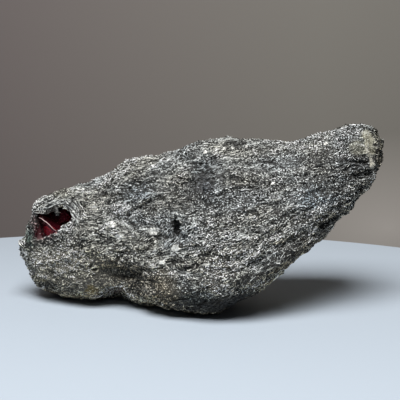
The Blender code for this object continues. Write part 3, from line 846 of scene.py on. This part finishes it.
def strewing(name, form, where, density, apart, turn, shrink, seed):
    """Nodes that strew a form over a mesh, along its grain, each at its own size and tone."""
    tree = bpy.data.node_groups.new(name, "GeometryNodeTree")
    for way in ("INPUT", "OUTPUT"):
        tree.interface.new_socket("Geometry", in_out=way, socket_type="NodeSocketGeometry")
    ground = node(tree, "NodeGroupInput").outputs[0]
    share = node(tree, "GeometryNodeInputNamedAttribute", {"Name": where}, data_type="FLOAT")
    strewn = node(tree, "GeometryNodeDistributePointsOnFaces",
                  {"Mesh": ground, "Seed": seed, "Density Factor": share.outputs[0],
                   "Density Max": density, "Distance Min": apart * MM},
                  distribute_method="POISSON")
    grain = node(tree, "GeometryNodeInputNamedAttribute", {"Name": "grain"},
                 data_type="FLOAT_VECTOR")
    along = node(tree, "FunctionNodeAlignRotationToVector",
                 {"Rotation": strewn.outputs["Rotation"], "Vector": grain.outputs[0]},
                 axis="X", pivot_axis="Z")
    loose = random_vector(tree, [-angle for angle in turn], turn, seed + 1)
    loose = node(tree, "FunctionNodeEulerToRotation", {0: loose})
    turned = node(tree, "FunctionNodeRotateRotation",
                  {"Rotation": along.outputs[0], "Rotate By": loose.outputs[0]},
                  rotation_space="LOCAL")
    shape = node(tree, "GeometryNodeObjectInfo", {"Object": form})
    placed = node(tree, "GeometryNodeInstanceOnPoints",
                  {"Points": strewn.outputs["Points"], "Instance": shape.outputs["Geometry"],
                   "Rotation": turned.outputs[0],
                   "Scale": random_vector(tree, *shrink, seed + 2)})
    tone = node(tree, "FunctionNodeRandomValue", {"Seed": seed + 3}, data_type="FLOAT")
    toned = node(tree, "GeometryNodeStoreNamedAttribute",
                 {"Geometry": placed.outputs[0], "Name": "tone", "Value": tone.outputs[1]},
                 data_type="FLOAT", domain="INSTANCE")
    real = node(tree, "GeometryNodeRealizeInstances", {0: toned.outputs[0]})
    node(tree, "NodeGroupOutput", {0: real.outputs[0]})
    return tree


def strew(ground, name, form, where, count, turn, shrink, seed, apart):
    """Strew a form over the rock, no two closer than apart, as one real mesh."""
    piece = add_object(name, ground.data.copy())
    area = sum(face.area for face in piece.data.polygons)
    tree = strewing(name, form, where, count / area, apart, turn, shrink, seed)
    piece.modifiers.new("strewn", "NODES").node_group = tree
    bake_modifiers(piece)
    bpy.data.node_groups.remove(tree)
    bpy.data.objects.remove(form)
    move_to(piece.data, read(piece.data.vertices, "co", 3) / MM)
    return piece


def placing(place, turn, size):
    """The matrix that gives a shape its size, turns it and puts it in its place."""
    return Matrix.Translation(place) @ turn @ Matrix.Diagonal((*size, 1))


def surface_point(ground, x, z):
    """Where a line from the front meets a surface, and the surface's normal there."""
    place, normal, _, _ = ground.ray_cast(Vector((x, -100, z)) * MM, Vector((0, 1, 0)))
    return place, normal


def lay_fibres(name, mesh, bundles, thickness, seed=5):
    """Bundles of long fibres, draped over the face of a mesh along their runs."""
    ground = tree_of(mesh)
    random = np.random.default_rng(seed)
    strands = bpy.data.curves.new(name, "CURVE")
    strands.dimensions = "3D"
    strands.bevel_depth = thickness / 2 * MM
    strands.bevel_resolution = 0
    for path, fibres, spread, reach in bundles:
        x, z = np.array(path).T
        way = np.linspace(0, 1, len(path))
        for _ in range(fibres):
            start = random.uniform(0, 1 - reach)
            steps = np.linspace(start, start + reach, FIBRE_POINTS)
            aside = random.normal(0, spread, 2)
            sway = FIBRE_SWAY * spread * np.sin(steps * random.uniform(9, 20)
                                                + random.uniform(0, 6))
            spots = [surface_point(ground, *spot) for spot in
                     zip(np.interp(steps, way, x) + aside[0] + sway,
                         np.interp(steps, way, z) + aside[1] + sway)]
            spots = [place + 0.8 * strands.bevel_depth * normal for place, normal in spots
                     if place]
            if len(spots) < FEWEST_POINTS:
                continue
            strand = strands.splines.new("POLY")
            strand.points.add(len(spots) - 1)
            for number, (point, spot) in enumerate(zip(strand.points, spots)):
                along = math.pi * number / (len(spots) - 1)
                point.co = (*spot, 1)
                point.radius = FIBRE_END + FIBRE_SWELL * math.sin(along)
    loose = add_object("loose", strands)
    bpy.context.view_layer.update()
    tubes = bpy.data.meshes.new_from_object(loose)
    bpy.data.objects.remove(loose)
    return add_object(name, tubes)


def build_inclusion():
    """The pale inclusion that light in the front crystal falls on."""
    along = Vector(INCLUSION_ALONG).normalized()
    facing = Vector(INCLUSION_FACING).normalized()
    turned = Matrix((along, facing.cross(along), facing)).transposed().to_4x4()
    turned = turned @ Matrix.Rotation(math.radians(INCLUSION_SLANT), 4, "Y")
    inclusion = bmesh.new()
    bmesh.ops.create_icosphere(inclusion, subdivisions=2, radius=1,
                               matrix=placing(Vector(INCLUSION) * MM, turned,
                                             Vector(INCLUSION_SIZE) * MM))
    return new_object("inclusion", inclusion)


def lay_crumbs(rock):
    """Pale crumbs along the pocket's rim."""
    ground = tree_of(rock.data)
    random = np.random.default_rng(8)
    crumbs = bmesh.new()
    x, z = np.array(RIM).T
    for _ in range(RIM_CRUMBS):
        along = random.uniform(0, len(RIM) - 1)
        aside = random.normal(0, CRUMB_SCATTER, 2)
        place, _ = surface_point(ground, np.interp(along, range(len(RIM)), x) + aside[0],
                                 np.interp(along, range(len(RIM)), z) + aside[1])
        size = random.uniform(0.4, 1.0, 3) * CRUMB_SIZE * MM
        turn = Matrix.Rotation(random.uniform(0, 3), 4, random.normal(0, 1, 3))
        bmesh.ops.create_icosphere(crumbs, subdivisions=1, radius=0.5,
                                   matrix=placing(place, turn, size))
    return new_object("rim_crumbs", crumbs)


def lay_plates(rock):
    """The large pale flakes of the face, each a loose stack of broken leaves."""
    ground = tree_of(rock.data)
    random = np.random.default_rng(3)
    noise.seed_set(3)
    plates = bmesh.new()
    for plate in PLATES:
        for _ in range(LEAVES):
            across, up = random.uniform(-LEAF_ASIDE, LEAF_ASIDE, 2)
            place, normal = surface_point(ground, plate.across + across * plate.length,
                                          plate.up + up * plate.width)
            facing = normal + Vector(PLATE_FACING) + Vector(random.normal(0, LEAF_LEAN, 3))
            turned = facing.to_track_quat("Z", "Y").to_matrix().to_4x4()
            angle = math.radians(plate.tilt + random.normal(0, LEAF_TURN))
            turned = turned @ Matrix.Rotation(angle, 4, "Z")
            size = Vector((LEAF_SHARE * plate.length, LEAF_SHARE * plate.width, LEAF_THICKNESS))
            lifted = place + random.uniform(*LEAF_LIFT) * MM * normal
            made = bmesh.ops.create_cone(plates, segments=4, radius1=0.70, radius2=0.62,
                                         depth=1, cap_ends=True,
                                         matrix=placing(lifted, turned, size * MM))
            for corner in made["verts"]:
                corner.co += LEAF_BREAK * MM * noise.noise_vector(BREAK_SCALE * corner.co / MM)
    return new_object("pale_plates", plates)


# What a user can change.

class RockLook(bpy.types.PropertyGroup):
    detail: FloatProperty(name="Detail", description="Length of the skin's smallest faces",
                          default=0.80 * MM, unit="LENGTH")


class FeltLook(bpy.types.PropertyGroup):
    grains: IntProperty(name="Grains", description="How many short pale grains at most",
                        default=39000)
    specks: IntProperty(name="Specks", description="How many small pale specks at most",
                        default=54000)
    dark_specks: IntProperty(name="Dark specks", description="How many small dark specks at "
                             "most", default=54000)
    needles: IntProperty(name="Needles", description="How many long pale needles, were they "
                         "everywhere", default=30000)
    blades: IntProperty(name="Blades", description="How many dark blades, were they everywhere",
                        default=24500)
    flakes: IntProperty(name="Flakes", description="How many mica flakes, were they everywhere",
                        default=7000)
    grain_size: FloatVectorProperty(name="Grain", description="A pale grain's length, width "
                                    "and thickness", default=(1.2 * MM, 0.44 * MM, 0.36 * MM),
                                    unit="LENGTH")
    speck_size: FloatVectorProperty(name="Speck", description="A speck's length, width and "
                                    "thickness", default=(0.78 * MM, 0.52 * MM, 0.46 * MM),
                                    unit="LENGTH")
    needle_size: FloatVectorProperty(name="Needle", description="A needle's length, width and "
                                     "thickness", default=(3.0 * MM, 0.38 * MM, 0.34 * MM),
                                     unit="LENGTH")
    blade_size: FloatVectorProperty(name="Blade", description="A dark blade's length, width "
                                    "and thickness", default=(1.15 * MM, 0.50 * MM, 0.38 * MM),
                                    unit="LENGTH")
    flake_size: FloatVectorProperty(name="Flake", description="A flake's length, width and "
                                    "thickness", default=(0.9 * MM, 0.6 * MM, 0.2 * MM),
                                    unit="LENGTH")


class GarnetLook(bpy.types.PropertyGroup):
    colour: FloatVectorProperty(name="Colour", description="Colour of the front crystal",
                                default=(0.74, 0.07, 0.14), subtype="COLOR")
    # The shaded colour is painted shade on the crystals' backs.
    shaded_colour: FloatVectorProperty(name="Deep colour", description="Colour of the crystals' "
                                     "dark backs", default=(0.12, 0.03, 0.035),
                                     subtype="COLOR")
    worn_edge: FloatProperty(name="Worn edge", description="Width of the worn edges",
                             default=0.2 * MM, unit="LENGTH")


class StageLook(bpy.types.PropertyGroup):
    table_colour: FloatVectorProperty(name="Table", description="Colour of the pale table",
                                      default=(0.445, 0.503, 0.567), subtype="COLOR")
    # The wall's colours hold painted light: lighter to the right, with a painted glow low on the
    # right.
    wall_left: FloatVectorProperty(name="Wall left", description="Colour of the wall's left",
                                   default=(0.238, 0.207, 0.198), subtype="COLOR")
    wall_right: FloatVectorProperty(name="Wall right", description="Colour of the wall's right",
                                    default=(0.312, 0.293, 0.262), subtype="COLOR")
    wall_glow: FloatVectorProperty(name="Wall glow", description="Colour of the wall low on "
                                   "the right", default=(0.62, 0.575, 0.53), subtype="COLOR")
    light: FloatProperty(name="Light", description="Power of the softbox", default=16.0,
                         unit="POWER")
    room_light: FloatProperty(name="Room light", description="Strength of the light all round",
                              default=0.035)


def built_rock():
    """The rock, which has to be there before the pieces that lie on it."""
    rock = bpy.data.objects.get("rock")
    if rock is None:
        raise RuntimeError("build the rock before the pieces that lie on it")
    return rock


class SPECIMEN_OT_rock(bpy.types.Operator):
    """Build the rock's foliated skin"""
    bl_idname = "specimen.rock"
    bl_label = "Rock"

    def execute(self, context):
        skin = build_skin(context.scene.rock_look.detail)
        annotate(skin)
        pull_pocket(skin.data)
        finish_piece(skin, rock_material(), ("stone",))
        return {"FINISHED"}


# The felt's minerals, in the order they are strewn: the piece, its form, which settings hold its
# number and size, which attribute says where it lies, how far each grain turns from the grain of
# the rock about each axis (radians), the least and the most of its size that it has, its random
# seed, how far apart the grains keep, and its finish.
Mineral = namedtuple("Mineral", "piece form count size where turn least most seed apart finish")
MINERALS = [Mineral(*row) for row in [
    ("pale_grains", needle_form, "grains", "grain_size", "pale_felt", (0.7, 0.10, 1.20),
     (0.5, 0.5, 0.6), (1.6, 1.3, 1.3), 31, 0.8, "pale_amphibole"),
    ("pale_specks", needle_form, "specks", "speck_size", "pale_pepper", (0.7, 0.40, 3.14),
     (0.6, 0.6, 0.8), (1.4, 1.4, 1.3), 41, 0.95, "bright_amphibole"),
    ("dark_specks", needle_form, "dark_specks", "speck_size", "pepper", (0.7, 0.40, 3.14),
     (0.9, 1.0, 1.1), (2.0, 1.8, 1.6), 51, 0.95, "dark_amphibole"),
    ("pale_needles", needle_form, "needles", "needle_size", "streaks", (0.6, 0.06, 0.26),
     (0.4, 0.6, 0.6), (1.4, 1.3, 1.3), 1, 0.0, "pale_amphibole"),
    ("dark_blades", needle_form, "blades", "blade_size", "felt", (0.7, 0.12, 0.60),
     (0.4, 0.5, 0.6), (2.1, 1.5, 1.3), 11, 0.0, "dark_amphibole"),
    ("mica_flakes", flake_form, "flakes", "flake_size", "felt", (0.6, 0.24, 1.20),
     (0.5, 0.5, 0.6), (1.2, 1.2, 1.3), 21, 0.0, "mica"),
]]
# Their finishes: the hue, the brightness at each share of the grains, roughness and gloss.
FINISHES = {
    "pale_amphibole": ((0.975, 1.0, 0.97), [(0.0, 0.10), (0.3, 0.42), (0.7, 0.84), (1.0, 1.0)],
                       0.55, 0.4),
    "bright_amphibole": ((0.975, 1.0, 0.97), [(0.0, 0.30), (0.4, 0.80), (1.0, 1.0)], 0.55, 0.4),
    "dark_amphibole": ((1.10, 1.0, 0.80), [(0.0, 0.004), (0.6, 0.014), (1.0, 0.05)], 0.5, 0.25),
    "mica": ((1.0, 1.0, 0.98), [(0.0, 0.25), (0.6, 0.50), (1.0, 0.80)], 0.35, 0.5),
}


class SPECIMEN_OT_felt(bpy.types.Operator):
    """Strew the rock with needles, blades and flakes"""
    bl_idname = "specimen.felt"
    bl_label = "Needles and flakes"

    def execute(self, context):
        rock = built_rock()
        look = context.scene.felt_look
        materials = {name: grain_material(name, *finish) for name, finish in FINISHES.items()}
        for mineral in MINERALS:
            form = mineral.form(*getattr(look, mineral.size))
            piece = strew(rock, mineral.piece, form, mineral.where,
                          getattr(look, mineral.count), mineral.turn,
                          (mineral.least, mineral.most), mineral.seed, mineral.apart)
            finish_piece(piece, materials[mineral.finish])
        finish_piece(lay_fibres("silver_fibres", rock.data, BROW, FIBRE_THICKNESS),
                     shiny_material("silver_amphibole", grey(0.85)))
        # Painted shade: dark strands in the gaps between the pale fibres.
        finish_piece(lay_fibres("dark_fibres", rock.data, BROW, SHADOW_GAP_THICKNESS, 12),
                     shiny_material("black_amphibole", grey(0.03)))
        finish_piece(lay_plates(rock), shiny_material("silver_mica", (0.86, 0.85, 0.79)))
        return {"FINISHED"}


class SPECIMEN_OT_garnet(bpy.types.Operator):
    """Build the clear garnet crystals"""
    bl_idname = "specimen.garnet"
    bl_label = "Garnet"

    def execute(self, context):
        rock = built_rock()
        look = context.scene.garnet_look
        gem = copy_of_node("garnet", "garnet_crystals")
        pull_pocket(gem.data)
        worn = gem.modifiers.new("worn edges", "BEVEL")
        worn.width = look.worn_edge
        worn.segments = 2
        worn.limit_method = "ANGLE"
        bake_modifiers(gem)
        finish_piece(gem, garnet_material(look.colour, look.shaded_colour), ("garnet",))
        # Painted highlight: a pale strand along the garnet's sharp edge.
        edge_highlight = plain_material("pink_feldspar", (0.72, 0.52, 0.50))
        finish_piece(lay_fibres("crest", gem.data, CREST_HIGHLIGHT, CREST_HIGHLIGHT_THICKNESS), edge_highlight)
        brown = plain_material("brown_feldspar", (0.34, 0.25, 0.25))
        finish_piece(build_inclusion(), brown)
        finish_piece(lay_crumbs(rock), brown)
        return {"FINISHED"}


class SPECIMEN_OT_stage(bpy.types.Operator):
    """Set up the table, the softbox, the room and the camera"""
    bl_idname = "specimen.stage"
    bl_label = "Stage"

    def execute(self, context):
        look = context.scene.stage_look
        scene = context.scene
        scene.view_settings.view_transform = "Standard"
        disc = bmesh.new()
        bmesh.ops.create_cone(disc, segments=128, radius1=TABLE_RADIUS, radius2=TABLE_RADIUS,
                              depth=TABLE_THICKNESS, cap_ends=True,
                              matrix=Matrix.Translation(TABLE_PLACE))
        table = new_object("table", disc)
        table.data.materials.append(plain_material("pale_table", look.table_colour))

        board = bmesh.new()
        bmesh.ops.create_grid(board, x_segments=1, y_segments=1, size=WALL_SIZE,
                              matrix=Matrix.Translation(WALL_PLACE)
                              @ Matrix.Rotation(math.pi / 2, 4, "X"))
        wall = new_object("wall", board)
        wall.data.materials.append(wall_material(look.wall_left, look.wall_right,
                                                 look.wall_glow))

        softbox = add_object("softbox", bpy.data.lights.new("softbox", "AREA"))
        softbox.data.size = SOFTBOX_SIZE
        softbox.data.energy = look.light
        softbox.location = SOFTBOX_PLACE
        aim = Vector(SOFTBOX_AIM) - softbox.location
        softbox.rotation_euler = aim.to_track_quat("-Z", "Y").to_euler()

        scene.world = bpy.data.worlds.new("room")
        scene.world.use_nodes = True
        room = scene.world.node_tree.nodes["Background"]
        room.inputs["Color"].default_value = (1, 1, 1, 1)
        room.inputs["Strength"].default_value = look.room_light

        camera = add_object("camera", bpy.data.cameras.new("camera"))
        camera.data.lens = CAMERA_LENS
        camera.data.sensor_width = CAMERA_SENSOR
        camera.data.clip_start = 0.01
        camera.location = CAMERA_PLACE
        camera.rotation_euler = (math.radians(CAMERA_TILT), 0, 0)
        scene.camera = camera
        return {"FINISHED"}


class SPECIMEN_PT_panel(bpy.types.Panel):
    """The specimen's pieces and the sizes and colours they are made with"""
    bl_idname = "SPECIMEN_PT_panel"
    bl_label = "Raw nuummite"
    bl_space_type = "VIEW_3D"
    bl_region_type = "UI"
    bl_category = "Specimen"

    def draw(self, context):
        for operator, look in ((SPECIMEN_OT_rock, "rock_look"), (SPECIMEN_OT_felt, "felt_look"),
                               (SPECIMEN_OT_garnet, "garnet_look"),
                               (SPECIMEN_OT_stage, "stage_look")):
            settings = getattr(context.scene, look)
            for name in settings.__annotations__:
                self.layout.prop(settings, name)
            self.layout.operator(operator.bl_idname)


LOOKS = {"rock_look": RockLook, "felt_look": FeltLook, "garnet_look": GarnetLook,
         "stage_look": StageLook}
CLASSES = (*LOOKS.values(), SPECIMEN_OT_rock, SPECIMEN_OT_felt, SPECIMEN_OT_garnet,
           SPECIMEN_OT_stage, SPECIMEN_PT_panel)


def register():
    for kind in CLASSES:
        bpy.utils.register_class(kind)
    for name, look in LOOKS.items():
        setattr(bpy.types.Scene, name, PointerProperty(type=look))


def unregister():
    for name in LOOKS:
        delattr(bpy.types.Scene, name)
    for kind in reversed(CLASSES):
        bpy.utils.unregister_class(kind)


def main():
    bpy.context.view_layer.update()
    register()
    bpy.ops.specimen.rock()
    bpy.ops.specimen.felt()
    bpy.ops.specimen.garnet()
    bpy.ops.specimen.stage()


if __name__ == "__main__":
    main()
